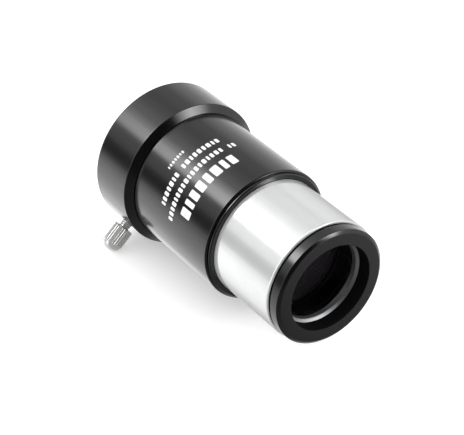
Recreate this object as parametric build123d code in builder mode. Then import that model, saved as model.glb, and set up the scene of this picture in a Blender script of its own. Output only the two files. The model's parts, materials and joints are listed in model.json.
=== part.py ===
from build123d import *
import os
from math import cos, radians, sin, sqrt

# Barlow lens for 1.25 inch eyepieces, lying on its side as it does on a bench.
# Frame: the origin is on the optical axis at the shoulder where the nosepiece leaves the body.
# +X runs along the optical axis out of the nosepiece, +Z is up. Millimetres.

# ---- outside diameters ----
nose_d = 31.7  # 1.25 inch push-fit barrel
body_d = 35.66
holder_d = 40.0
cell_d = 30.8
flange_d = 34.38

# ---- stations along the optical axis ----
holder_rear_x = -47.3
shoulder_x = -33.9  # where the holder starts to slope down to the body
holder_front_x = -32.45
body_front_x = -0.8
nose_front_x = 21.3
cell_flange_x = 21.95
cell_front_x = 25.0

# ---- eyepiece socket ----
socket_d = 31.84
socket_depth = 32.0
stop_x = holder_rear_x + socket_depth
light_path_d = 28.4  # land in the body that stops the eyepiece
mouth_chamfer = 0.6
holder_land_d = 36.2  # foot of the sloped shoulder

# ---- threaded joints, drawn plain at their mating diameters ----
static_gap = 0.03
body_spigot_d = 34.2
body_spigot_length = 6.0
collar_spigot_d = 33.1
collar_spigot_length = 6.6
barrel_spigot_d = 30.6
barrel_spigot_length = 7.2

# ---- nosepiece bore and lens cell thread ----
barrel_bore_d = 28.0
cell_thread_d = 28.4  # M28.5 x 0.6, the thread of 1.25 inch filters
cell_thread_pitch = 0.6
cell_thread_turns = 7
thread_gap = 0.06
thread_depth = 0.3
thread_run_out = 0.5  # bore beyond the last turn of the female thread
thread_flat_share = 0.12  # width of each crest and root, as a share of the pitch
cell_neck_d = 30.1
cell_relief_width = 0.45
cell_body_d = 27.4
cell_rear_x = 11.3

# ---- optics: an air-spaced negative achromat of 22.8 mm glass, about -75 mm focal length ----
lens_d = 22.8
lens_bore_d = 23.0
lens_seat_d = 20.8
front_outer_radius = 75.0
front_inner_radius = 70.0
rear_outer_radius = 22.4
front_edge_thickness = 1.3
spacer_thickness = 0.2
spacer_bore_d = 21.6
rear_centre_thickness = 1.4
lens_gap = 0.03  # the glass is free to turn in its seat

# ---- retaining ring and baffle ----
ring_front_x = 21.3
ring_bore_d = 21.6
ring_chamfer = 0.6
ring_length = 1.9
slot_width = 1.2
slot_depth = 0.7
slot_angle = 40.0
baffle_bore_d = 24.4
baffle_length = 1.2

# ---- clamp screw, M3 ----
screw_x = -41.5
screw_angle = 42.3  # below the horizontal, on the -Y side
stud_d = 3.0
stud_pitch = 0.5
stud_tip = 16.1  # distance of the stud's tip from the optical axis
stud_end = 25.9
stud_thread_turns = 10
stud_thread_depth = 0.25
stud_edge = 0.3
stud_hole_gap = 0.05
hole_countersink = 0.35
knob_d = 5.6
knob_start = 21.7
knob_grip_length = 5.0
knob_dome_height = 1.9
knob_flutes = 26
knob_flute_depth = 0.24
knob_shoulder = 0.25
knob_edge = 0.2
knob_bore_gap = 0.03

# ---- edge breaks ----
fine_edge = 0.15
body_edge = 0.33
flange_edge = 0.22
rear_edge = 0.5
nose_rim_round = 0.42
cell_edge_radial = 0.83
cell_edge_axial = 0.6

# ---- working values ----
cut_margin = 1.0  # how far a cut reaches past the wall it goes through
rim_tolerance = 0.01

nose_r = nose_d / 2
body_r = body_d / 2
holder_r = holder_d / 2
socket_r = socket_d / 2
cell_r = cell_d / 2
lens_r = lens_d / 2

# Plane square to the clamp screw, its origin on the optical axis and its normal pointing outwards.
screw_direction = Vector(0, -cos(radians(screw_angle)), -sin(radians(screw_angle)))
screw_plane = Plane(origin=(screw_x, 0, 0), x_dir=(1, 0, 0), z_dir=screw_direction)
# Plane holding the clamp screw's axis: x runs outwards along it, y is the distance from it.
across_screw = screw_direction.cross(Vector(1, 0, 0))
screw_section = Plane(origin=(screw_x, 0, 0), x_dir=screw_direction, z_dir=across_screw)
screw_axis = Axis((screw_x, 0, 0), screw_direction)


def sag(curve_radius, height):
    """Depth of a spherical surface at a distance from its axis."""
    return curve_radius - sqrt(curve_radius**2 - height**2)


def surface_point(vertex_x, curve_radius, height, rim_side):
    """Point of a spherical surface whose rim lies towards +X (rim_side 1) or -X (rim_side -1)."""
    return (vertex_x + rim_side * sag(curve_radius, height), height)


def lens_surface(vertex_x, curve_radius, rim_side):
    """Arc of a lens surface from the optical axis to the lens's rim."""
    return ThreePointArc(
        surface_point(vertex_x, curve_radius, 0, rim_side),
        surface_point(vertex_x, curve_radius, lens_r / 2, rim_side),
        surface_point(vertex_x, curve_radius, lens_r, rim_side),
    )


def rims(piece, diameter):
    """Circular edges of one diameter, in order along the optical axis."""
    circles = piece.edges().filter_by(GeomType.CIRCLE)
    return circles.filter_by(lambda rim: abs(rim.radius - diameter / 2) < rim_tolerance).sort_by(Axis.X)


def thread_outline(start, pitch, turns, crest, depth):
    """Crests and roots of a V thread with narrow flats, as (axial, radial) points."""
    half_flat = thread_flat_share * pitch / 2
    points = []
    for turn in range(turns):
        left = start + turn * pitch
        middle = left + pitch / 2
        points += [
            (left + half_flat, crest - depth),
            (middle - half_flat, crest),
            (middle + half_flat, crest),
            (left + pitch - half_flat, crest - depth),
        ]
    return points


# ---- stations worked out from the driving dimensions ----
spigot_rear_x = holder_front_x - body_spigot_length
collar_rear_x = body_front_x - collar_spigot_length
cell_thread_length = cell_thread_pitch * cell_thread_turns
female_thread_length = cell_thread_length + cell_relief_width + thread_run_out
cell_seat_x = nose_front_x + static_gap
cell_thread_front_x = cell_seat_x - cell_relief_width
cell_thread_rear_x = cell_thread_front_x - cell_thread_length

# The retaining ring touches the front lens at the ring's bore, and the spacer does the same behind it.
ring_rear_x = ring_front_x - ring_length
front_vertex_x = ring_rear_x - lens_gap + sag(front_outer_radius, ring_bore_d / 2)
front_rim_x = front_vertex_x - sag(front_outer_radius, lens_r)
front_rear_rim_x = front_rim_x - front_edge_thickness
front_rear_vertex_x = front_rear_rim_x - sag(front_inner_radius, lens_r)
spacer_front_x = front_rear_vertex_x + sag(front_inner_radius, spacer_bore_d / 2)
rear_rim_x = spacer_front_x - spacer_thickness
rear_vertex_x = rear_rim_x - sag(front_inner_radius, lens_r)
rear_back_vertex_x = rear_vertex_x - rear_centre_thickness
rear_back_rim_x = rear_back_vertex_x - sag(rear_outer_radius, lens_r)
lens_seat_x = rear_back_rim_x - lens_gap

os.makedirs("parts", exist_ok=True)

# ---- eyepiece holder: thick ring at the rear that takes the eyepiece and the clamp screw ----
with BuildPart() as eyepiece_holder:
    with BuildSketch(Plane.XZ):
        with BuildLine():
            Polyline(
                (holder_rear_x, socket_r),
                (holder_rear_x, holder_r),
                (shoulder_x, holder_r),
                (holder_front_x, holder_land_d / 2),
                (holder_front_x, body_spigot_d / 2 + static_gap),
                (spigot_rear_x - static_gap, body_spigot_d / 2 + static_gap),
                (spigot_rear_x - static_gap, socket_r),
                close=True,
            )
        make_face()
    revolve(axis=Axis.X)
    chamfer(rims(eyepiece_holder, socket_d)[0], length=mouth_chamfer)
    fillet(rims(eyepiece_holder, holder_d)[0], radius=rear_edge)
    fillet(rims(eyepiece_holder, holder_d)[-1], radius=fine_edge)
    with Locations(screw_plane.offset(holder_r)):
        CounterSinkHole(
            radius=stud_d / 2 + stud_hole_gap,
            counter_sink_radius=stud_d / 2 + stud_hole_gap + hole_countersink,
            depth=holder_r - socket_r + cut_margin,
        )
eyepiece_holder.part.label = "eyepiece_holder"
export_step(eyepiece_holder.part, "parts/eyepiece_holder.step")

# ---- body tube: carries the rest of the socket, the eyepiece stop and the nosepiece thread ----
with BuildPart() as body_tube:
    with BuildSketch(Plane.YZ.offset(holder_front_x)):
        Circle(body_r)
    extrude(amount=body_front_x - holder_front_x)
    chamfer(rims(body_tube, body_d)[-1], length=body_edge)
    with BuildSketch(Plane.YZ.offset(spigot_rear_x)):
        Circle(body_spigot_d / 2)
    extrude(amount=body_spigot_length)
    chamfer(rims(body_tube, body_spigot_d)[0], length=fine_edge)
    with BuildSketch(Plane.YZ.offset(spigot_rear_x)):
        Circle(socket_r)
    extrude(amount=stop_x - spigot_rear_x, mode=Mode.SUBTRACT)
    with BuildSketch(Plane.YZ.offset(spigot_rear_x)):
        Circle(light_path_d / 2)
    extrude(amount=body_front_x - spigot_rear_x, mode=Mode.SUBTRACT)
    with BuildSketch(Plane.YZ.offset(collar_rear_x - static_gap)):
        Circle(collar_spigot_d / 2 + static_gap)
    extrude(amount=collar_spigot_length + static_gap, mode=Mode.SUBTRACT)
body_tube.part.label = "body_tube"
export_step(body_tube.part, "parts/body_tube.step")

# ---- nosepiece collar: black flanged ring that joins the nosepiece to the body ----
with BuildPart() as nosepiece_collar:
    with BuildSketch(Plane.YZ.offset(body_front_x)):
        Circle(flange_d / 2)
    extrude(amount=-body_front_x)
    chamfer(rims(nosepiece_collar, flange_d)[-1], length=flange_edge)
    with BuildSketch(Plane.YZ.offset(collar_rear_x)):
        Circle(collar_spigot_d / 2)
    extrude(amount=collar_spigot_length)
    chamfer(rims(nosepiece_collar, collar_spigot_d)[0], length=fine_edge)
    with BuildSketch(Plane.YZ.offset(collar_rear_x)):
        Circle(barrel_spigot_d / 2 + static_gap)
    extrude(amount=-collar_rear_x, mode=Mode.SUBTRACT)
nosepiece_collar.part.label = "nosepiece_collar"
export_step(nosepiece_collar.part, "parts/nosepiece_collar.step")

# ---- nosepiece barrel: plated tube that slides into the telescope's focuser ----
with BuildPart() as nosepiece_barrel:
    with BuildSketch(Plane.YZ):
        Circle(nose_r)
    extrude(amount=nose_front_x)
    fillet(rims(nosepiece_barrel, nose_d)[-1], radius=nose_rim_round)
    with BuildSketch(Plane.YZ.offset(-barrel_spigot_length)):
        Circle(barrel_spigot_d / 2)
    extrude(amount=barrel_spigot_length)
    with BuildSketch(Plane.YZ.offset(-barrel_spigot_length)):
        Circle(barrel_bore_d / 2)
    extrude(amount=barrel_spigot_length + nose_front_x, mode=Mode.SUBTRACT)
    with BuildSketch(Plane.YZ.offset(nose_front_x)):
        Circle(cell_thread_d / 2 + thread_gap)
    extrude(amount=-female_thread_length, mode=Mode.SUBTRACT)
    chamfer(rims(nosepiece_barrel, cell_thread_d + 2 * thread_gap)[-1], length=fine_edge)
    chamfer(rims(nosepiece_barrel, barrel_spigot_d)[0], length=fine_edge)
nosepiece_barrel.part.label = "nosepiece_barrel"
export_step(nosepiece_barrel.part, "parts/nosepiece_barrel.step")

# ---- baffle ring: pressed into the rear of the nosepiece to trap stray light ----
with BuildPart() as baffle_ring:
    with BuildSketch(Plane.YZ.offset(-barrel_spigot_length)):
        Circle(barrel_bore_d / 2)
        Circle(baffle_bore_d / 2, mode=Mode.SUBTRACT)
    extrude(amount=baffle_length)
    chamfer(rims(baffle_ring, baffle_bore_d)[-1], length=baffle_length / 2)
baffle_ring.part.label = "baffle_ring"
export_step(baffle_ring.part, "parts/baffle_ring.step")

# ---- lens cell: screws into the nosepiece and carries the two lenses ----
with BuildPart() as lens_cell:
    with BuildSketch(Plane.XZ):
        with BuildLine():
            Polyline(
                (cell_rear_x, lens_seat_d / 2),
                (cell_rear_x, cell_body_d / 2),
                *thread_outline(
                    start=cell_thread_rear_x,
                    pitch=cell_thread_pitch,
                    turns=cell_thread_turns,
                    crest=cell_thread_d / 2,
                    depth=thread_depth,
                ),
                (cell_thread_front_x, cell_body_d / 2),
                (cell_seat_x, cell_body_d / 2),
                (cell_seat_x, cell_neck_d / 2),
                (cell_flange_x, cell_neck_d / 2),
                (cell_flange_x, cell_r),
                (cell_front_x - cell_edge_axial, cell_r),
                (cell_front_x, cell_r - cell_edge_radial),
                (cell_front_x, lens_bore_d / 2),
                (lens_seat_x, lens_bore_d / 2),
                (lens_seat_x, lens_seat_d / 2),
                close=True,
            )
        make_face()
    revolve(axis=Axis.X)
    chamfer(rims(lens_cell, lens_bore_d)[-1], length=fine_edge)
lens_cell.part.label = "lens_cell"
export_step(lens_cell.part, "parts/lens_cell.step")

# ---- retaining ring: bright slotted ring that holds the glass down ----
slot_plane = Plane(
    origin=(ring_front_x, 0, 0),
    x_dir=(0, cos(radians(slot_angle)), sin(radians(slot_angle))),
    z_dir=(1, 0, 0),
)
with BuildPart() as retaining_ring:
    with BuildSketch(Plane.YZ.offset(ring_rear_x)):
        Circle(lens_bore_d / 2 - static_gap)
        Circle(ring_bore_d / 2, mode=Mode.SUBTRACT)
    extrude(amount=ring_length)
    chamfer(rims(retaining_ring, ring_bore_d)[-1], length=ring_chamfer)
    with BuildSketch(slot_plane):
        Rectangle(lens_bore_d + cut_margin, slot_width)
    extrude(amount=-slot_depth, mode=Mode.SUBTRACT)
retaining_ring.part.label = "retaining_ring"
export_step(retaining_ring.part, "parts/retaining_ring.step")

# ---- front lens: biconvex flint ----
with BuildPart() as front_lens:
    with BuildSketch(Plane.XZ):
        with BuildLine():
            sky_side = lens_surface(front_vertex_x, front_outer_radius, -1)
            eye_side = lens_surface(front_rear_vertex_x, front_inner_radius, 1)
            Line(sky_side @ 1, eye_side @ 1)
            Line(eye_side @ 0, sky_side @ 0)
        make_face()
    revolve(axis=Axis.X)
front_lens.part.label = "front_lens"
export_step(front_lens.part, "parts/front_lens.step")

# ---- lens spacer: thin ring that sets the air gap ----
with BuildPart() as lens_spacer:
    with BuildSketch(Plane.YZ.offset(rear_rim_x)):
        Circle(lens_r)
        Circle(spacer_bore_d / 2, mode=Mode.SUBTRACT)
    extrude(amount=spacer_thickness)
lens_spacer.part.label = "lens_spacer"
export_step(lens_spacer.part, "parts/lens_spacer.step")

# ---- rear lens: biconcave crown ----
with BuildPart() as rear_lens:
    with BuildSketch(Plane.XZ):
        with BuildLine():
            gap_side = lens_surface(rear_vertex_x, front_inner_radius, 1)
            socket_side = lens_surface(rear_back_vertex_x, rear_outer_radius, -1)
            Line(gap_side @ 1, socket_side @ 1)
            Line(socket_side @ 0, gap_side @ 0)
        make_face()
    revolve(axis=Axis.X)
rear_lens.part.label = "rear_lens"
export_step(rear_lens.part, "parts/rear_lens.step")

# ---- clamp screw stud: its tip presses on the eyepiece ----
stud_r = stud_d / 2
thread_start = stud_tip + stud_edge
with BuildPart() as screw_stud:
    with BuildSketch(screw_section):
        with BuildLine():
            Polyline(
                (stud_tip, 0),
                (stud_tip, stud_r - stud_edge),
                *thread_outline(
                    start=thread_start,
                    pitch=stud_pitch,
                    turns=stud_thread_turns,
                    crest=stud_r,
                    depth=stud_thread_depth,
                ),
                (thread_start + stud_pitch * stud_thread_turns, stud_r),
                (stud_end, stud_r),
                (stud_end, 0),
                close=True,
            )
        make_face()
    revolve(axis=screw_axis)
screw_stud.part.label = "screw_stud"
export_step(screw_stud.part, "parts/screw_stud.step")

# ---- clamp screw knob: knurled grip with a domed end ----
grip_end = knob_start + knob_grip_length
knob_r = knob_d / 2
dome_r = knob_r - knob_shoulder
with BuildPart() as screw_knob:
    with BuildSketch(screw_section):
        with BuildLine():
            Polyline(
                (knob_start, 0),
                (knob_start, knob_r - knob_edge),
                (knob_start + knob_edge, knob_r),
                (grip_end - knob_edge, knob_r),
                (grip_end, knob_r - knob_edge),
                (grip_end, dome_r),
            )
            EllipticalCenterArc((grip_end, 0), knob_dome_height, dome_r, start_angle=0, arc_size=90)
            Line((grip_end + knob_dome_height, 0), (knob_start, 0))
        make_face()
    revolve(axis=screw_axis)
    with BuildSketch(screw_plane.offset(knob_start)):
        with PolarLocations(knob_r, knob_flutes):
            RegularPolygon(radius=knob_flute_depth, side_count=3, rotation=180)
    extrude(amount=knob_grip_length, mode=Mode.SUBTRACT)
    with BuildSketch(screw_plane.offset(knob_start)):
        Circle(stud_r + knob_bore_gap)
    extrude(amount=stud_end - knob_start + knob_bore_gap, mode=Mode.SUBTRACT)
screw_knob.part.label = "screw_knob"
export_step(screw_knob.part, "parts/screw_knob.step")
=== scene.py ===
import json
from math import cos, degrees, pi, radians, sin, sqrt

import bpy
from mathutils import Matrix, Vector


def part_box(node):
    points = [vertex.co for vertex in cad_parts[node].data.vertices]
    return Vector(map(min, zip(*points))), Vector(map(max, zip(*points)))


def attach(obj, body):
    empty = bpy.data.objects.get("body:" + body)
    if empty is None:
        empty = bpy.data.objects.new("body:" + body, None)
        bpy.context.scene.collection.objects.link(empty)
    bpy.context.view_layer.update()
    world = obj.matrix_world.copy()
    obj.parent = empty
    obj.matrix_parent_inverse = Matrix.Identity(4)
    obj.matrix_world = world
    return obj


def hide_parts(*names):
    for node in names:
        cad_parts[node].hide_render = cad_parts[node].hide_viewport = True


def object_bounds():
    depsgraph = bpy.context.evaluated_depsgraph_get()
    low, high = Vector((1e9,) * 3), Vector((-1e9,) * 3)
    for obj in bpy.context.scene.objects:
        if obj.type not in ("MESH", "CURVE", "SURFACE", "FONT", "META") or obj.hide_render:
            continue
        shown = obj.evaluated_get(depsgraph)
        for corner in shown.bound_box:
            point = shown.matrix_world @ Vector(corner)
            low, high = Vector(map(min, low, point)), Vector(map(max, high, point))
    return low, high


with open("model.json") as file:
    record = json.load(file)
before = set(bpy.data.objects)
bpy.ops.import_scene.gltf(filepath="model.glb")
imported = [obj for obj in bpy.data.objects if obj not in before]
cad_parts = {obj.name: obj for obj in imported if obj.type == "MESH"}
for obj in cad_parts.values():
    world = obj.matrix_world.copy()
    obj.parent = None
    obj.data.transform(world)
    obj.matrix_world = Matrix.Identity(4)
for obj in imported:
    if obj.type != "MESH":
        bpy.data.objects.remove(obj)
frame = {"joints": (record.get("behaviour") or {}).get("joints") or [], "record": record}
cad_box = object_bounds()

# A barlow lens for 1.25 inch eyepieces, lying on its side on a pale floor.
# Lengths are in millimetres here, and meshes are written in metres. The optical axis is X.

MM = 0.001
SEGMENTS = 288  # facets round a turned piece
SHARP_ANGLE = radians(38)  # edges steeper than this stay sharp


# ---------------------------------------------------------------- stations, from the frame

def x_span(node):
    """Where a node starts and ends along the optical axis."""
    low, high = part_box(node)
    return low.x / MM, high.x / MM


def radius_of(node):
    """Outside radius of a node that is turned about the optical axis."""
    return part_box(node)[1].z / MM


def record_mount(name):
    return next(m for m in frame["record"]["mounts"] if m["name"] == name)


def joint(name):
    return next(j for j in frame["joints"] if j["name"] == name)


holder_rear, holder_front = x_span("eyepiece_holder")
spigot_rear, body_front = x_span("body_tube")
collar_rear, collar_front = x_span("nosepiece_collar")
barrel_rear, nose_front = x_span("nosepiece_barrel")
cell_rear, cell_front = x_span("lens_cell")
ring_rear, ring_front = x_span("retaining_ring")
front_lens_rear, front_lens_front = x_span("front_lens")
rear_lens_rear, rear_lens_front = x_span("rear_lens")
spacer_rear, spacer_front = x_span("lens_spacer")
baffle_rear, baffle_front = x_span("baffle_ring")

holder_r = radius_of("eyepiece_holder")
body_r = radius_of("body_tube")
flange_r = radius_of("nosepiece_collar")
nose_r = radius_of("nosepiece_barrel")
cell_r = radius_of("lens_cell")
ring_r = radius_of("retaining_ring")
lens_r = radius_of("front_lens")
spacer_r = radius_of("lens_spacer")
baffle_r = radius_of("baffle_ring")
socket_r = record_mount("eyepiece_socket")["dims"]["r_mm"]

screw_x = joint("screw_turn")["pos_m"][0] / MM
screw_axis = Vector(joint("screw_turn")["axis"]).normalized()

# Details that the boxes of the nodes don't hold.
SOFT = 0.05  # rounding of a sharp turned edge
EDGE = 0.12  # rounding of a broken edge
HAIR = 0.01  # smaller than any distance between two surfaces of a piece
REAR_ROUND = 0.5
MOUTH_CHAMFER = 0.6
SHOULDER_X = -33.9
HOLDER_LAND_R = 18.1
BODY_SPIGOT_R = 17.1
THREAD_CLEARANCE = 0.03
SOCKET_DEPTH = 32.0
STOP_X = holder_rear + SOCKET_DEPTH
LIGHT_PATH_R = 14.2
BODY_CHAMFER = 0.33
COLLAR_SPIGOT_R = 16.55
FLANGE_CHAMFER = 0.22
BARREL_SPIGOT_R = 15.3
BARREL_BORE_R = 14.0
BARREL_THREAD_RUN_OUT = 0.5
NOSE_RIM_ROUND = 0.42
CELL_THREAD_R = 14.2
CELL_THREAD_PITCH = 0.6
CELL_THREAD_DEPTH = 0.3
CELL_THREAD_CLEARANCE = 0.06
CELL_THREAD_TURNS = 7
CELL_BODY_R = 13.7
CELL_NECK_R = 15.05
CELL_FLANGE_X = 21.95
CELL_EDGE_RADIAL = 0.83
CELL_EDGE_AXIAL = 0.6
CELL_RELIEF = 0.45
LENS_BORE_R = 11.5
LENS_SEAT_R = 10.4
RING_BORE_R = 10.8
RING_CHAMFER = 0.6
SLOT_WIDTH = 1.2
SLOT_DEPTH = 0.7
SLOT_ANGLE = 40.0
BAFFLE_BORE_R = 12.2
SPACER_BORE_R = 10.8
FRONT_OUTER_CURVE = 75.0
FRONT_INNER_CURVE = 70.0
REAR_OUTER_CURVE = 22.4
STUD_R = 1.5
STUD_TIP = 16.1
STUD_TIP_R = 1.15
STUD_TIP_CHAMFER = 0.08
STUD_END = 25.9
STUD_PITCH = 0.5
STUD_THREAD_DEPTH = 0.25
STUD_THREAD_TURNS = 10
STUD_LEAD = 0.3  # plain length before the first turn
THREAD_FLAT = 0.12  # width of each crest and root, as a share of the pitch
THREAD_STATIONS = 14  # outline points in each turn of a thread
THREAD_STEP = 0.02  # axial room for the step from a cylinder down to a thread's root
HOLE_R = 1.55
HOLE_COUNTERSINK = 0.35
COUNTERSINK_MARGIN = 0.05  # deepens the countersink, because the round holder falls away beside the hole
HOLE_OVERRUN = 0.6  # how far the cutter stands out of the holder
HOLE_UNDERRUN = 1.5  # how far it reaches into the socket
KNOB_R = 2.8
KNOB_START = 21.7
KNOB_GRIP = 5.0
KNOB_DOME = 1.9
KNOB_SHOULDER = 0.25
KNOB_EDGE = 0.2
KNOB_FACE_RING = 0.25  # width of the outer ring of facets on the knob's flat face
KNOB_FACE_CENTRE = 1.6  # radius of its middle
KNOB_FLUTES = 26
KNOB_FLUTE_DEPTH = 0.24
KNOB_FLUTE_SHARE = 0.62  # width of a flute, as a share of the distance between flutes
FLUTE_FACETS = 12
GRIP_STATIONS = 12
DOME_STATIONS = 14


# ---------------------------------------------------------------- outlines

def corner(before, point, after, rounding, steps=5):
    """Points that round off one corner of an outline."""
    p = Vector(point)
    a = Vector(before) - p
    b = Vector(after) - p
    reach = min(rounding, 0.45 * a.length, 0.45 * b.length)
    start = p + a.normalized() * reach
    end = p + b.normalized() * reach
    points = []
    for i in range(steps):
        t = i / (steps - 1)
        points.append((1 - t) ** 2 * start + 2 * t * (1 - t) * p + t**2 * end)
    return [tuple(q) for q in points]


def rounded(outline):
    """Outline points as (x, radius), with each corner of (x, radius, rounding) rounded off."""
    points = []
    count = len(outline)
    for i, (x, r, *rounding) in enumerate(outline):
        if rounding and rounding[0] > 0:
            before = outline[i - 1][:2]
            after = outline[(i + 1) % count][:2]
            points += corner(before, (x, r), after, rounding[0])
        else:
            points.append((x, r))
    return points


def sag(curve, height):
    """Depth of a spherical surface at a distance from its axis."""
    return curve - sqrt(curve**2 - height**2)


def lens_surface(rim_x, curve, rim_side, steps=40):
    """Points of a spherical surface from axis to rim; rim_side is +1 where the rim lies towards +X."""
    vertex_x = rim_x - rim_side * sag(curve, lens_r)
    heights = [lens_r * i / steps for i in range(steps + 1)]
    return [(vertex_x + rim_side * sag(curve, h), h) for h in heights]


# ---------------------------------------------------------------- meshes

def finish_mesh(name, vertices, faces, material, body, replaced):
    """Makes the object, smooth but for its sharp edges, and hangs it on its CAD body."""
    mesh = bpy.data.meshes.new(name)
    mesh.from_pydata([[c * MM for c in v] for v in vertices], [], faces)
    mesh.validate()
    mesh.shade_smooth()
    mesh.set_sharp_from_angle(angle=SHARP_ANGLE)
    mesh.materials.append(material)
    piece = bpy.data.objects.new(name, mesh)
    bpy.context.scene.collection.objects.link(piece)
    if body:
        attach(piece, body)
    if replaced:
        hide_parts(replaced)
    return piece


def weigh_normals(piece):
    """Keeps flats flat and rounds round where the two meet."""
    modifier = piece.modifiers.new("even_shading", "WEIGHTED_NORMAL")
    modifier.keep_sharp = True


def turned(name, outline, material, body=None, replaced=None, placement=Matrix.Identity(4),
           closed=True, shape=None, segments=SEGMENTS):
    """Turns an outline about the X axis.

    A closed outline makes a ring, and an open one starts and ends on the axis. shape(x, r, angle) may
    change the radius, as a knurl or a thread does."""
    shape = shape or (lambda x, r, angle: r)
    rings = outline if closed else outline[1:-1]
    angles = [2 * pi * j / segments for j in range(segments)]
    vertices = []
    for x, r in rings:
        for angle in angles:
            radius = shape(x, r, angle)
            vertices.append((x, radius * cos(angle), radius * sin(angle)))
    count = len(rings)
    faces = []
    for i in range(count if closed else count - 1):
        here = i * segments
        there = (i + 1) % count * segments
        for j in range(segments):
            k = (j + 1) % segments
            faces.append((here + j, there + j, there + k, here + k))
    if not closed:
        first_pole = len(vertices)
        vertices += [(outline[0][0], 0, 0), (outline[-1][0], 0, 0)]
        last = (count - 1) * segments
        for j in range(segments):
            k = (j + 1) % segments
            faces.append((first_pole, j, k))
            faces.append((last + k, last + j, first_pole + 1))
    vertices = [tuple(placement @ Vector(v)) for v in vertices]
    if signed_volume(vertices, faces) < 0:
        faces = [tuple(reversed(f)) for f in faces]
    piece = finish_mesh(name, vertices, faces, material, body, replaced)
    weigh_normals(piece)
    return piece


def signed_volume(vertices, faces):
    """Positive when the faces point outwards."""
    total = 0.0
    for face in faces:
        a = vertices[face[0]]
        for i in range(1, len(face) - 1):
            b = vertices[face[i]]
            c = vertices[face[i + 1]]
            total += (
                a[0] * (b[1] * c[2] - b[2] * c[1])
                - a[1] * (b[0] * c[2] - b[2] * c[0])
                + a[2] * (b[0] * c[1] - b[1] * c[0])
            )
    return total


def block(name, size, placement):
    """Plain block, used only as a cutter."""
    corners = [(x, y, z) for x in (-0.5, 0.5) for y in (-0.5, 0.5) for z in (-0.5, 0.5)]
    vertices = [tuple(placement @ Vector((x * size[0], y * size[1], z * size[2]))) for x, y, z in corners]
    faces = [(0, 1, 3, 2), (4, 6, 7, 5), (0, 4, 5, 1), (2, 3, 7, 6), (0, 2, 6, 4), (1, 5, 7, 3)]
    return finish_mesh(name, vertices, faces, bpy.data.materials.new("cutter"), None, None)


def cut(piece, cutter):
    """Cuts one mesh out of another for good, and removes the cutter."""
    modifier = piece.modifiers.new("cut", "BOOLEAN")
    modifier.operation = "DIFFERENCE"
    modifier.solver = "EXACT"
    modifier.object = cutter
    for other in [m for m in piece.modifiers if m.type != "BOOLEAN"]:
        piece.modifiers.remove(other)
    material = piece.data.materials[0]
    evaluated = piece.evaluated_get(bpy.context.evaluated_depsgraph_get())
    mesh = bpy.data.meshes.new_from_object(evaluated)
    piece.modifiers.clear()
    piece.data = mesh
    mesh.materials.clear()
    mesh.materials.append(material)
    mesh.shade_smooth()
    mesh.set_sharp_from_angle(angle=SHARP_ANGLE)
    weigh_normals(piece)
    bpy.data.objects.remove(cutter)


def screw_placement():
    """Maps the X axis onto the clamp screw's axis."""
    along = screw_axis
    side = Vector((1, 0, 0))
    third = along.cross(side)
    matrix = Matrix((along, side, third)).transposed().to_4x4()
    matrix.translation = Vector((screw_x, 0, 0))
    return matrix


def thread(start, pitch, turns, crest, depth):
    """A right-hand thread with flat crests and roots that runs out at both ends."""
    end = start + pitch * turns

    def shape(x, r, angle):
        if r < crest - depth - HAIR or x <= start or x >= end:
            return r
        phase = ((x - start) / pitch - angle / (2 * pi)) % 1.0
        form = min(1.0, max(0.0, (abs(2 * phase - 1) - THREAD_FLAT) / (1 - 2 * THREAD_FLAT)))
        runout = min(1.0, (x - start) / pitch, (end - x) / pitch)
        return crest - depth * (1 - form * runout)

    return shape


def stretch(start, end, r, steps):
    """Evenly spaced outline points along a cylinder."""
    return [(start + (end - start) * i / steps, r) for i in range(steps + 1)]


# ---------------------------------------------------------------- shader arithmetic

class Wire:
    """A value inside a node tree, so that shader arithmetic reads as arithmetic."""

    def __init__(self, tree, socket):
        self.tree = tree
        self.socket = socket

    def math(self, operation, *others):
        node = self.tree.nodes.new("ShaderNodeMath")
        node.operation = operation
        for slot, value in zip(node.inputs, (self,) + others):
            if isinstance(value, Wire):
                self.tree.links.new(value.socket, slot)
            else:
                slot.default_value = value
        return Wire(self.tree, node.outputs[0])

    def __add__(self, other):
        return self.math("ADD", other)

    def __sub__(self, other):
        return self.math("SUBTRACT", other)

    def __mul__(self, other):
        return self.math("MULTIPLY", other)

    def __truediv__(self, other):
        return self.math("DIVIDE", other)

    __radd__ = __add__
    __rmul__ = __mul__

    def __rsub__(self, other):
        return (self * -1) + other

    def power(self, exponent):
        return self.math("POWER", exponent)

    def step(self, low, high):
        """Smooth step from 0 at low to 1 at high."""
        node = self.tree.nodes.new("ShaderNodeMapRange")
        node.interpolation_type = "SMOOTHSTEP"
        self.tree.links.new(self.socket, node.inputs["Value"])
        node.inputs["From Min"].default_value = low
        node.inputs["From Max"].default_value = high
        return Wire(self.tree, node.outputs["Result"])

    def bump(self, centre, half, soft):
        """1 within half of the centre, and 0 from half plus soft outwards."""
        distance = (self - centre).math("ABSOLUTE")
        return 1 - distance.step(half, half + soft)


def split(tree, vector):
    """The three parts of a vector socket."""
    node = tree.nodes.new("ShaderNodeSeparateXYZ")
    tree.links.new(vector, node.inputs[0])
    return [Wire(tree, out) for out in node.outputs]


def join(tree, *parts):
    """A vector socket made from three values."""
    node = tree.nodes.new("ShaderNodeCombineXYZ")
    for slot, part in zip(node.inputs, parts):
        if isinstance(part, Wire):
            tree.links.new(part.socket, slot)
        else:
            slot.default_value = part
    return node.outputs[0]


def noise(tree, vector, scale, detail=2.0, roughness=0.5):
    """Noise between about 0 and 1."""
    node = tree.nodes.new("ShaderNodeTexNoise")
    node.inputs["Scale"].default_value = scale
    node.inputs["Detail"].default_value = detail
    node.inputs["Roughness"].default_value = roughness
    tree.links.new(vector, node.inputs["Vector"])
    return Wire(tree, node.outputs["Fac"])


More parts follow.
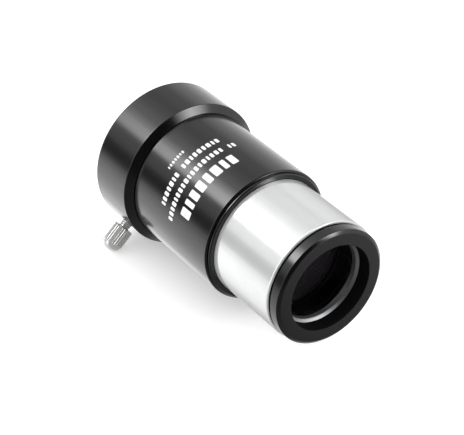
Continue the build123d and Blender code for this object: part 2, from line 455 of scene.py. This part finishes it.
def blend_colour(tree, share, first, second):
    """first where share is 0, second where it is 1. Each is a colour or a socket."""
    node = tree.nodes.new("ShaderNodeMix")
    node.data_type = "RGBA"
    tree.links.new(share.socket, node.inputs["Factor"])
    for slot, colour in (("A", first), ("B", second)):
        socket = next(s for s in node.inputs if s.name == slot and s.type == "RGBA")
        if isinstance(colour, tuple):
            socket.default_value = (*colour, 1)
        else:
            tree.links.new(colour, socket)
    return next(s for s in node.outputs if s.type == "RGBA")


def new_material(name):
    """A material with its node tree, principled shader and object coordinates in millimetres."""
    material = bpy.data.materials.new(name)
    material.use_nodes = True
    tree = material.node_tree
    shader = tree.nodes["Principled BSDF"]
    coordinates = tree.nodes.new("ShaderNodeTexCoord")
    scale = tree.nodes.new("ShaderNodeVectorMath")
    scale.operation = "SCALE"
    scale.inputs["Scale"].default_value = 1 / MM
    tree.links.new(coordinates.outputs["Object"], scale.inputs[0])
    return material, tree, shader, scale.outputs[0]


def set_input(tree, shader, name, value):
    if isinstance(value, Wire):
        tree.links.new(value.socket, shader.inputs[name])
    elif isinstance(value, bpy.types.NodeSocket):
        tree.links.new(value, shader.inputs[name])
    else:
        shader.inputs[name].default_value = value


def set_bump(tree, shader, height, distance):
    """Bump from a height between 0 and 1; distance is in metres."""
    node = tree.nodes.new("ShaderNodeBump")
    node.inputs["Distance"].default_value = distance
    tree.links.new(height.socket, node.inputs["Height"])
    tree.links.new(node.outputs["Normal"], shader.inputs["Normal"])


def edge_wear(tree, reach):
    """Near 1 on edges within reach of the surface, for wear along them."""
    bevel = tree.nodes.new("ShaderNodeBevel")
    bevel.samples = 4
    bevel.inputs["Radius"].default_value = reach
    geometry = tree.nodes.new("ShaderNodeNewGeometry")
    dot = tree.nodes.new("ShaderNodeVectorMath")
    dot.operation = "DOT_PRODUCT"
    tree.links.new(bevel.outputs["Normal"], dot.inputs[0])
    tree.links.new(geometry.outputs["Normal"], dot.inputs[1])
    return (1 - Wire(tree, dot.outputs["Value"])).step(0.02, 0.35)


def distance_from_axis(tree, point):
    """Distance from the optical axis, in millimetres."""
    _, y, z = split(tree, point)
    return (y * y + z * z).power(0.5)


def turning_marks(tree, point, fineness=9.0):
    """Fine lines left by the lathe: they change along the axis and hardly round it."""
    x, y, z = split(tree, point)
    return noise(tree, join(tree, x * fineness, y * 0.05, z * 0.05), 1.0, detail=3.0, roughness=0.7)


# ---------------------------------------------------------------- materials

def anodised_black(name, bore_r):
    """Glossy black outside, and matt where the radius is less than the bore's."""
    material, tree, shader, point = new_material(name)
    outside = distance_from_axis(tree, point).step(bore_r, bore_r + 0.08)
    marks = turning_marks(tree, point)
    grain = noise(tree, point, 9.0, detail=3.0)
    mottle = noise(tree, point, 0.35, detail=2.0)
    wear = edge_wear(tree, 0.12 * MM) * noise(tree, point, 1.6, detail=4.0).step(0.5, 0.68) * outside
    colour = blend_colour(tree, mottle, (0.0008, 0.0008, 0.0009), (0.0016, 0.0016, 0.0018))
    set_input(tree, shader, "Base Color", blend_colour(tree, wear * 0.3, colour, (0.12, 0.12, 0.125)))
    set_input(tree, shader, "IOR", 1.3 + outside * 0.4)
    set_input(tree, shader, "Roughness", 0.7 - outside * 0.6 + outside * (0.04 * mottle + 0.08 * marks))
    set_bump(tree, shader, marks * 0.8 + grain * 0.2, 0.0025 * MM)
    return material


def matte_black():
    material, tree, shader, point = new_material("matte_black")
    grain = noise(tree, point, 12.0, detail=4.0)
    colour = blend_colour(tree, grain, (0.002, 0.002, 0.002), (0.004, 0.004, 0.004))
    set_input(tree, shader, "Base Color", colour)
    set_input(tree, shader, "IOR", 1.3)
    set_input(tree, shader, "Roughness", 0.7 + 0.15 * grain)
    set_bump(tree, shader, grain, 0.01 * MM)
    return material


def chrome_plate():
    """Polished plate outside, blackened in the bore and on the hidden spigot."""
    material, tree, shader, point = new_material("chrome_plate")
    outside = distance_from_axis(tree, point).step(BARREL_SPIGOT_R - 0.05, BARREL_SPIGOT_R + 0.05)
    marks = turning_marks(tree, point, fineness=5.0)
    haze = noise(tree, point, 0.25, detail=3.0)
    plate = blend_colour(tree, haze, (0.82, 0.823, 0.826), (0.88, 0.883, 0.886))
    set_input(tree, shader, "Base Color", blend_colour(tree, outside, (0.003, 0.003, 0.003), plate))
    set_input(tree, shader, "Metallic", outside * 0.6)
    set_input(tree, shader, "Specular Tint", (0.1, 0.1, 0.1, 1))
    set_input(tree, shader, "Roughness", 0.7 - outside * 0.6 + outside * haze * 0.04)
    set_bump(tree, shader, marks, 0.0003 * MM)
    return material


def nickel_plate():
    """Bright plate over a knurl, a little cloudy."""
    material, tree, shader, point = new_material("nickel_plate")
    grain = noise(tree, point, 14.0, detail=3.0)
    haze = noise(tree, point, 1.1, detail=3.0)
    colour = blend_colour(tree, haze, (0.64, 0.635, 0.63), (0.72, 0.715, 0.71))
    set_input(tree, shader, "Base Color", colour)
    set_input(tree, shader, "Metallic", 0.6)
    set_input(tree, shader, "Specular Tint", (0.3, 0.3, 0.3, 1))
    set_input(tree, shader, "Roughness", 0.16 + 0.1 * grain)
    set_bump(tree, shader, grain, 0.001 * MM)
    return material


def bare_aluminium():
    material, tree, shader, point = new_material("bare_aluminium")
    marks = turning_marks(tree, point, fineness=14.0)
    haze = noise(tree, point, 1.4, detail=3.0)
    colour = blend_colour(tree, haze, (0.5, 0.51, 0.52), (0.62, 0.63, 0.64))
    set_input(tree, shader, "Base Color", colour)
    set_input(tree, shader, "Metallic", 1.0)
    set_input(tree, shader, "Roughness", 0.4 + 0.14 * marks)
    set_bump(tree, shader, marks, 0.002 * MM)
    return material


COATED_GLASS_IOR = 1.07  # lower than bare glass, because the coating takes most of the reflection away


def coated_glass():
    """Clear glass with a magenta coating, blackened on its rim."""
    material, tree, shader, point = new_material("coated_glass")
    ground = distance_from_axis(tree, point).step(lens_r - 0.12, lens_r - 0.08)
    film = noise(tree, point, 0.2, detail=2.0)
    tint = blend_colour(tree, film, (0.6, 0.2, 0.95), (0.85, 0.3, 0.9))
    set_input(tree, shader, "Base Color", blend_colour(tree, ground, (1.0, 1.0, 1.0), (0.01, 0.01, 0.01)))
    set_input(tree, shader, "Transmission Weight", 1 - ground)
    set_input(tree, shader, "IOR", COATED_GLASS_IOR)
    set_input(tree, shader, "Specular Tint", tint)
    set_input(tree, shader, "Roughness", ground * 0.6)
    return material


def print_white():
    material, tree, shader, point = new_material("print_white")
    grain = noise(tree, point, 8.0, detail=3.0)
    set_input(tree, shader, "Base Color", blend_colour(tree, grain, (0.78, 0.78, 0.77), (0.88, 0.88, 0.87)))
    set_input(tree, shader, "Roughness", 0.45 + 0.2 * grain)
    return material


BLACK = anodised_black("black_anodised", socket_r + 0.02)
CELL_BLACK = anodised_black("black_anodised_cell", LENS_BORE_R + 0.02)
MATTE = matte_black()
CHROME = chrome_plate()
NICKEL = nickel_plate()
ALUMINIUM = bare_aluminium()
GLASS = coated_glass()
PRINT = print_white()


# ---------------------------------------------------------------- black rings and tubes

def make_holder():
    spigot_bore = BODY_SPIGOT_R + THREAD_CLEARANCE
    inner_step = spigot_rear - THREAD_CLEARANCE
    outline = rounded([
        (holder_rear, socket_r + MOUTH_CHAMFER, EDGE),
        (holder_rear, holder_r, REAR_ROUND),
        (SHOULDER_X, holder_r, EDGE),
        (holder_front, HOLDER_LAND_R, SOFT),
        (holder_front, spigot_bore, SOFT),
        (inner_step, spigot_bore),
        (inner_step, socket_r),
        (holder_rear + MOUTH_CHAMFER, socket_r, EDGE),
    ])
    holder = turned("holder_ring", outline, BLACK, "root", "eyepiece_holder")
    hole = [
        (socket_r - HOLE_UNDERRUN, 0),
        (socket_r - HOLE_UNDERRUN, HOLE_R),
        (holder_r - HOLE_COUNTERSINK - COUNTERSINK_MARGIN, HOLE_R),
        (holder_r + HOLE_OVERRUN, HOLE_R + HOLE_COUNTERSINK + HOLE_OVERRUN),
        (holder_r + HOLE_OVERRUN, 0),
    ]
    cutter = turned("hole_cutter", hole, BLACK, placement=screw_placement(), closed=False, segments=64)
    cut(holder, cutter)


def make_body():
    collar_bore = COLLAR_SPIGOT_R + THREAD_CLEARANCE
    step = collar_rear - THREAD_CLEARANCE
    outline = rounded([
        (spigot_rear, socket_r, SOFT),
        (spigot_rear, BODY_SPIGOT_R, EDGE),
        (holder_front, BODY_SPIGOT_R),
        (holder_front, body_r, SOFT),
        (body_front - BODY_CHAMFER, body_r, EDGE),
        (body_front, body_r - BODY_CHAMFER, SOFT),
        (body_front, collar_bore, SOFT),
        (step, collar_bore),
        (step, LIGHT_PATH_R, SOFT),
        (STOP_X, LIGHT_PATH_R, EDGE),
        (STOP_X, socket_r),
    ])
    turned("body_shell", outline, BLACK, "root", "body_tube")


def make_collar():
    bore = BARREL_SPIGOT_R + THREAD_CLEARANCE
    outline = rounded([
        (collar_rear, bore, SOFT),
        (collar_rear, COLLAR_SPIGOT_R, EDGE),
        (body_front, COLLAR_SPIGOT_R),
        (body_front, flange_r, SOFT),
        (collar_front - FLANGE_CHAMFER, flange_r, SOFT),
        (collar_front, flange_r - FLANGE_CHAMFER, SOFT),
        (collar_front, bore, SOFT),
    ])
    turned("collar_ring", outline, BLACK, "root", "nosepiece_collar")


def make_barrel():
    mouth_r = CELL_THREAD_R + CELL_THREAD_CLEARANCE
    mouth_depth = CELL_THREAD_PITCH * CELL_THREAD_TURNS + CELL_RELIEF + BARREL_THREAD_RUN_OUT
    outline = rounded([
        (barrel_rear, BARREL_BORE_R, SOFT),
        (barrel_rear, BARREL_SPIGOT_R, EDGE),
        (0.0, BARREL_SPIGOT_R),
        (0.0, nose_r, SOFT),
        (nose_front, nose_r, NOSE_RIM_ROUND),
        (nose_front, mouth_r, EDGE),
        (nose_front - mouth_depth, mouth_r),
        (nose_front - mouth_depth, BARREL_BORE_R, SOFT),
    ])
    turned("chrome_barrel", outline, CHROME, "root", "nosepiece_barrel", segments=360)


def make_baffle():
    outline = rounded([
        (baffle_rear, BAFFLE_BORE_R, SOFT),
        (baffle_rear, baffle_r, SOFT),
        (baffle_front, baffle_r, SOFT),
        (baffle_front, BAFFLE_BORE_R + (baffle_front - baffle_rear) / 2, SOFT),
        ((baffle_front + baffle_rear) / 2, BAFFLE_BORE_R, SOFT),
    ])
    turned("glare_stop", outline, MATTE, "root", "baffle_ring")


# ---------------------------------------------------------------- lens cell and glass

def make_cell():
    seat_x = rear_lens_rear - THREAD_CLEARANCE
    shoulder_x = nose_front + THREAD_CLEARANCE
    thread_front = shoulder_x - CELL_RELIEF
    thread_rear = thread_front - CELL_THREAD_PITCH * CELL_THREAD_TURNS
    root_r = CELL_THREAD_R - CELL_THREAD_DEPTH
    outline = rounded([
        (cell_rear, LENS_SEAT_R, EDGE),
        (cell_rear, CELL_BODY_R, EDGE),
        (thread_rear - THREAD_STEP, CELL_BODY_R),
    ])
    outline += stretch(thread_rear, thread_front, root_r, THREAD_STATIONS * CELL_THREAD_TURNS)
    outline += [(thread_front + THREAD_STEP, CELL_BODY_R)]
    front = [
        (thread_front + THREAD_STEP, CELL_BODY_R),
        (shoulder_x, CELL_BODY_R, SOFT),
        (shoulder_x, CELL_NECK_R, SOFT),
        (CELL_FLANGE_X, CELL_NECK_R, SOFT),
        (CELL_FLANGE_X, cell_r, EDGE),
        (cell_front - CELL_EDGE_AXIAL, cell_r, EDGE),
        (cell_front, cell_r - CELL_EDGE_RADIAL, EDGE),
        (cell_front, LENS_BORE_R, EDGE),
        (seat_x, LENS_BORE_R, SOFT),
        (seat_x, LENS_SEAT_R, EDGE),
        (cell_rear, LENS_SEAT_R),
    ]
    outline += rounded(front)[1:-1]
    shape = thread(thread_rear, CELL_THREAD_PITCH, CELL_THREAD_TURNS, CELL_THREAD_R, CELL_THREAD_DEPTH)
    turned("cell_housing", outline, CELL_BLACK, "cell_body", "lens_cell", shape=shape, segments=240)


def make_retaining_ring():
    outline = rounded([
        (ring_rear, RING_BORE_R, SOFT),
        (ring_rear, ring_r, SOFT),
        (ring_front, ring_r, SOFT),
        (ring_front, RING_BORE_R + RING_CHAMFER, SOFT),
        (ring_front - RING_CHAMFER, RING_BORE_R, SOFT),
    ])
    ring = turned("lens_retainer", outline, ALUMINIUM, "cell_body", "retaining_ring")
    placement = Matrix.Rotation(radians(SLOT_ANGLE), 4, "X")
    placement.translation = Vector((ring_front, 0, 0))
    cutter = block("slot_cutter", (2 * SLOT_DEPTH, 3 * ring_r, SLOT_WIDTH), placement)
    cut(ring, cutter)


def make_lens(name, node, front, back):
    """A lens from the arguments of its two surfaces."""
    outline = lens_surface(*front) + lens_surface(*back)[::-1]
    turned(name, outline, GLASS, "cell_body", node, closed=False)


def make_lenses():
    """The front lens bulges on both sides, so its rims lie inside its box. The rear lens is hollow.

    Each surface is its rim's station, its radius of curvature, and the side that its rim lies on."""
    front_rim = front_lens_front - sag(FRONT_OUTER_CURVE, lens_r)
    back_rim = front_lens_rear + sag(FRONT_INNER_CURVE, lens_r)
    make_lens("flint_lens", "front_lens",
              (front_rim, FRONT_OUTER_CURVE, -1), (back_rim, FRONT_INNER_CURVE, 1))
    make_lens("crown_lens", "rear_lens",
              (rear_lens_front, FRONT_INNER_CURVE, 1), (rear_lens_rear, REAR_OUTER_CURVE, -1))


def make_spacer():
    outline = rounded([
        (spacer_rear, SPACER_BORE_R, 0.03),
        (spacer_rear, spacer_r, 0.03),
        (spacer_front, spacer_r, 0.03),
        (spacer_front, SPACER_BORE_R, 0.03),
    ])
    turned("spacer_ring", outline, MATTE, "cell_body", "lens_spacer")


# ---------------------------------------------------------------- clamp screw

def make_stud():
    start = STUD_TIP + STUD_LEAD
    end = start + STUD_PITCH * STUD_THREAD_TURNS
    outline = [(STUD_TIP, 0), (STUD_TIP, STUD_TIP_R)]
    outline += [(STUD_TIP + STUD_TIP_CHAMFER, STUD_TIP_R + STUD_TIP_CHAMFER)]
    outline += stretch(start, end, STUD_R - STUD_THREAD_DEPTH, THREAD_STATIONS * STUD_THREAD_TURNS)
    outline += [(end + STUD_THREAD_DEPTH, STUD_R), (STUD_END, STUD_R), (STUD_END, 0)]
    shape = thread(start, STUD_PITCH, STUD_THREAD_TURNS, STUD_R, STUD_THREAD_DEPTH)
    turned("screw_shank", outline, NICKEL, "screw_knob_body", "screw_stud", screw_placement(),
           closed=False, shape=shape, segments=72)


def make_knob():
    grip_end = KNOB_START + KNOB_GRIP
    dome_r = KNOB_R - KNOB_SHOULDER
    rim_r = KNOB_R - KNOB_EDGE
    dome = []
    for i in range(DOME_STATIONS):
        angle = pi / 2 * i / DOME_STATIONS
        dome.append((grip_end + KNOB_DOME * sin(angle), dome_r * cos(angle)))
    outline = [(KNOB_START, 0)]
    outline += [(KNOB_START, r) for r in (KNOB_FACE_CENTRE, rim_r - KNOB_FACE_RING, rim_r)]
    outline += [(KNOB_START + KNOB_EDGE, KNOB_R)]
    outline += stretch(KNOB_START + 2 * KNOB_EDGE, grip_end - 2 * KNOB_EDGE, KNOB_R, GRIP_STATIONS)
    outline += [(grip_end - KNOB_EDGE, KNOB_R), (grip_end, rim_r)]
    outline += dome + [(grip_end + KNOB_DOME, 0)]

    def knurl(x, r, angle):
        if x > grip_end:
            return r
        phase = (angle * KNOB_FLUTES / (2 * pi)) % 1.0
        groove = max(0.0, 1 - abs(2 * phase - 1) / KNOB_FLUTE_SHARE)
        return min(r, KNOB_R - KNOB_FLUTE_DEPTH * groove)

    turned("knurled_knob", outline, NICKEL, "screw_knob_body", "screw_knob", screw_placement(),
           closed=False, shape=knurl, segments=KNOB_FLUTES * FLUTE_FACETS)


# ---------------------------------------------------------------- printed marks

PRINT_MIDDLE = 127.8  # degrees about the axis, measured from +Y over +Z
INK = 0.012  # how far the print stands proud of the body
INK_ROOT = 0.02  # how far it reaches into the body
MARK_ROUNDING = 0.3  # rounding of a mark's ends on the tall rows
MARK_ROUNDING_SHARE = 0.25  # the same on the low rows, as a share of their height
MARK_WIDTHS = (1.0, 0.75, 1.2, 0.9, 1.1)  # widths of the marks in a row, in relation to each other


def printed_mark(x_low, x_high, angle_low, angle_high, rounding, steps=8):
    """Corners and faces of one thin raised mark with rounded ends, wrapped round the body."""
    middle = (x_low + x_high) / 2
    half_height = (x_high - x_low) / 2
    end_angle = degrees(rounding / body_r)
    vertices = []
    for i in range(steps + 1):
        angle = angle_low + (angle_high - angle_low) * (1 - cos(pi * i / steps)) / 2
        outside = max(0.0, angle_low + end_angle - angle, angle - angle_high + end_angle) / end_angle
        half = half_height - rounding * (1 - sqrt(max(0.0, 1 - outside**2)))
        for r in (body_r - INK_ROOT, body_r + INK):
            for x in (middle - half, middle + half):
                vertices.append((x, r * cos(radians(angle)), r * sin(radians(angle))))
    faces = [(0, 2, 3, 1), (4 * steps, 4 * steps + 1, 4 * steps + 3, 4 * steps + 2)]
    for a in range(0, 4 * steps, 4):
        b = a + 4
        faces += [(a, a + 1, b + 1, b), (a + 2, b + 2, b + 3, a + 3)]
        faces += [(a, b, b + 2, a + 2), (a + 1, a + 3, b + 3, b + 1)]
    if signed_volume(vertices, faces) < 0:
        faces = [tuple(reversed(f)) for f in faces]
    return vertices, faces


def printed_line(name, x_low, x_high, half_angle, mark_width, gap, spaces=()):
    """A row of plain marks in place of a line of words; spaces holds the marks left out between words.

    Widths and gaps are in degrees round the body."""
    count = round((2 * half_angle + gap) / (mark_width + gap))
    widths = [MARK_WIDTHS[i % len(MARK_WIDTHS)] for i in range(count)]
    stretched = (2 * half_angle - gap * (count - 1)) / sum(widths)
    rounding = min(MARK_ROUNDING, MARK_ROUNDING_SHARE * (x_high - x_low))
    start = PRINT_MIDDLE - half_angle
    all_vertices, all_faces = [], []
    for i, width in enumerate(widths):
        end = start + width * stretched
        if i not in spaces:
            vertices, faces = printed_mark(x_low, x_high, start, end, rounding)
            offset = len(all_vertices)
            all_vertices += vertices
            all_faces += [tuple(v + offset for v in f) for f in faces]
        start = end + gap
    finish_mesh(name, all_vertices, all_faces, PRINT, "root", None)


def make_print():
    """Rows of plain white marks where a maker would print words."""
    printed_line("print_row_large", -13.0, -9.4, 32, 6.0, 2.6)
    printed_line("print_row_second", -17.1, -15.4, 43, 2.6, 1.5, spaces=(2,))
    printed_line("print_row_third", -20.9, -19.2, 35.5, 2.7, 1.5, spaces=(9,))
    printed_line("print_row_small", -24.1, -23.1, 9, 1.7, 1.1)


# ---------------------------------------------------------------- studio

FLOOR_HALF = 3000.0
FLOOR_GAP = 0.02  # keeps the floor clear of the object's lowest point


def make_floor():
    z = cad_box[0].z / MM - FLOOR_GAP
    signs = ((-1, -1), (1, -1), (1, 1), (-1, 1))
    corners = [(x * FLOOR_HALF, y * FLOOR_HALF, z) for x, y in signs]
    material, tree, shader, point = new_material("pale_floor")
    grain = noise(tree, point, 0.05, detail=2.0)
    set_input(tree, shader, "Base Color", blend_colour(tree, grain, (0.95, 0.95, 0.95), (0.97, 0.97, 0.97)))
    set_input(tree, shader, "Roughness", 0.8)
    set_input(tree, shader, "Specular IOR Level", 0.1)
    set_input(tree, shader, "Emission Color", (1, 1, 1, 1))
    set_input(tree, shader, "Emission Strength", 0.3)
    floor = finish_mesh("floor", corners, [(0, 1, 2, 3)], material, None, None)
    floor.visible_glossy = False


def brightness_round_axis(tree, turn, stops):
    """Smooth brightness against the angle round the optical axis, from (degrees, brightness) stops."""
    brightest = max(value for angle, value in stops)
    ramp = tree.nodes.new("ShaderNodeValToRGB")
    ramp.color_ramp.interpolation = "B_SPLINE"
    elements = ramp.color_ramp.elements
    while len(elements) < len(stops):
        elements.new(0.5)
    for element, (angle, value) in zip(elements, stops):
        element.position = angle / 360
        element.color = (value / brightest,) * 3 + (1,)
    tree.links.new(turn.socket, ramp.inputs["Fac"])
    grey = tree.nodes.new("ShaderNodeRGBToBW")
    tree.links.new(ramp.outputs["Color"], grey.inputs["Color"])
    return Wire(tree, grey.outputs[0]) * brightest


# Brightness of the tent behind the tube's middle and in front of it, as (angle, brightness) stops.
# Angles run round the optical axis. 0 is up and to the +Y side, 90 faces the camera, and 180 is down and
# to the -Y side.
TENT_BEHIND = [
    (0, 0.57), (30, 0.5), (50, 0.8), (62, 1.3), (120, 0.5), (129, 0.16), (143, 0.1),
    (152, 0.6), (165, 0.95), (200, 1.2), (250, 1.2), (262, 0.9), (290, 1.4), (325, 0.95), (360, 0.57),
]
TENT_IN_FRONT = [
    (0, 0.9), (18, 0.4), (27, 0.03), (60, 0.01), (145, 0.02), (165, 0.15), (195, 0.15),
    (215, 0.22), (240, 0.2), (258, 0.12), (266, 0.14), (274, 0.5), (310, 0.6), (335, 0.8), (360, 0.9),
]

LONG_LAMP_LEVEL = 8.0
SIDE_CARD_LEVEL = 1.7
LIGHT_LEVEL = 1.3  # of the plain light that falls on the object and the floor
# The two lamps in front: direction, half length and half width in degrees, and brightness.
OVAL_LAMPS = [
    ((0.684, 0.481, 0.548), 21, 9, 7.0),
    ((0.744, 0.527, 0.412), 9, 7, 7.0),
]
OVAL_LAMPS_ALONG = Vector((0.376, -0.877, 0.298))  # the way their length lies


def oval_lamp(parts, centre, along, half_length, half_width):
    """1 in the middle of an oval lamp, falling evenly to 0 at its rim. Half sizes are in degrees."""
    dx, dy, dz = parts
    middle = Vector(centre).normalized()
    lengthwise = along - middle * middle.dot(along)
    lengthwise.normalize()
    crosswise = middle.cross(lengthwise)

    def component(axis):
        return dx * axis.x + dy * axis.y + dz * axis.z

    u = component(lengthwise) / sin(radians(half_length))
    v = component(crosswise) / sin(radians(half_width))
    falling = (1 - (u * u + v * v).power(0.5)).math("MAXIMUM", 0.0)
    return falling * component(middle).step(0.0, 0.2)


def directions_round_axis(parts):
    """Splits a direction into its shares square to the optical axis: to the side, and towards the camera."""
    _, dy, dz = parts
    towards = camera_back()
    facing = Vector((0, towards.y, towards.z)).normalized()
    beside = Vector((0, facing.z, -facing.y))
    return dy * beside.y + dz * beside.z, dy * facing.y + dz * facing.z


def cloth_folds(tree, side, height):
    """Faint folds in the tent's cloth, which run along the tube and change only with the angle round it."""
    across = (side * side + height * height).power(0.5) + 0.001
    folds = noise(tree, join(tree, side / across, height / across, 0.0), 15.0, detail=4.0, roughness=0.75)
    return 0.8 + 0.4 * folds.step(0.32, 0.68)


def tent_brightness(tree, parts):
    """A white tent with a long lamp, two oval lamps in front, a card at the side and a dark opening."""
    dx = parts[0]
    side, height = directions_round_axis(parts)
    turn = (height.math("ARCTAN2", side) / (2 * pi)).math("WRAP", 1.0, 0.0)
    degrees_round = turn * 360
    behind = brightness_round_axis(tree, turn, TENT_BEHIND)
    in_front = brightness_round_axis(tree, turn, TENT_IN_FRONT)
    low_side = degrees_round.bump(205, 45, 25)
    behind = behind * (1 + low_side * ((dx * -1).step(0.6, 0.75) * 0.75 - 0.15))
    front_share = dx.step(-0.3, 0.2)
    tent = behind * (1 - front_share) + in_front * front_share
    long_lamp = degrees_round.step(62, 88) * (1 - degrees_round.step(92, 101)) * dx.step(-0.85, -0.5)
    tent = tent + long_lamp * (1 - front_share) * LONG_LAMP_LEVEL
    for centre, half_length, half_width, brightness in OVAL_LAMPS:
        tent = tent + oval_lamp(parts, centre, OVAL_LAMPS_ALONG, half_length, half_width) * brightness
    tent = tent * cloth_folds(tree, side, height)
    # The card stands square to the tube, and a second stretch of it lies far behind.
    card_reach = dx.step(-0.52, -0.42) - dx.step(0.05, 0.15) + (dx * -1).step(0.8, 0.9)
    side_card = degrees_round.bump(95, 55, 20) * card_reach
    return tent.math("MAXIMUM", side_card * SIDE_CARD_LEVEL)


def make_world():
    """Reflections see the tent. All other light is plain, even and white."""
    world = bpy.data.worlds.new("studio")
    bpy.context.scene.world = world
    world.use_nodes = True
    tree = world.node_tree
    background = tree.nodes["Background"]
    coordinates = tree.nodes.new("ShaderNodeTexCoord")
    tent = tent_brightness(tree, split(tree, coordinates.outputs["Generated"]))
    path = tree.nodes.new("ShaderNodeLightPath")
    mirrored = Wire(tree, path.outputs["Is Glossy Ray"])
    strength = tent * mirrored + (1 - mirrored) * LIGHT_LEVEL
    tree.links.new(strength.socket, background.inputs["Strength"])
    background.inputs["Color"].default_value = (1, 1, 1, 1)


CAMERA_AZIMUTH = radians(54.96)
CAMERA_ELEVATION = radians(34.955)
CAMERA_DISTANCE = 398.46
CAMERA_TARGET = Vector((-7.24, -5.54, 3.93))
FOCAL_LENGTH = 127.0
SENSOR_WIDTH = 36.0


def camera_back():
    """Unit vector from the object to the camera."""
    across = cos(CAMERA_ELEVATION)
    return Vector((sin(CAMERA_AZIMUTH) * across, -cos(CAMERA_AZIMUTH) * across, sin(CAMERA_ELEVATION)))


def make_camera():
    data = bpy.data.cameras.new("camera")
    data.sensor_width = SENSOR_WIDTH
    data.lens = FOCAL_LENGTH
    camera = bpy.data.objects.new("camera", data)
    bpy.context.scene.collection.objects.link(camera)
    camera.location = (CAMERA_TARGET + camera_back() * CAMERA_DISTANCE) * MM
    camera.rotation_mode = "QUATERNION"
    camera.rotation_quaternion = (-camera_back()).to_track_quat("-Z", "Y")
    bpy.context.scene.camera = camera


make_holder()
make_body()
make_collar()
make_barrel()
make_baffle()
make_cell()
make_retaining_ring()
make_lenses()
make_spacer()
make_stud()
make_knob()
make_print()
make_floor()
make_world()
make_camera()
bpy.context.scene.view_settings.view_transform = "Standard"
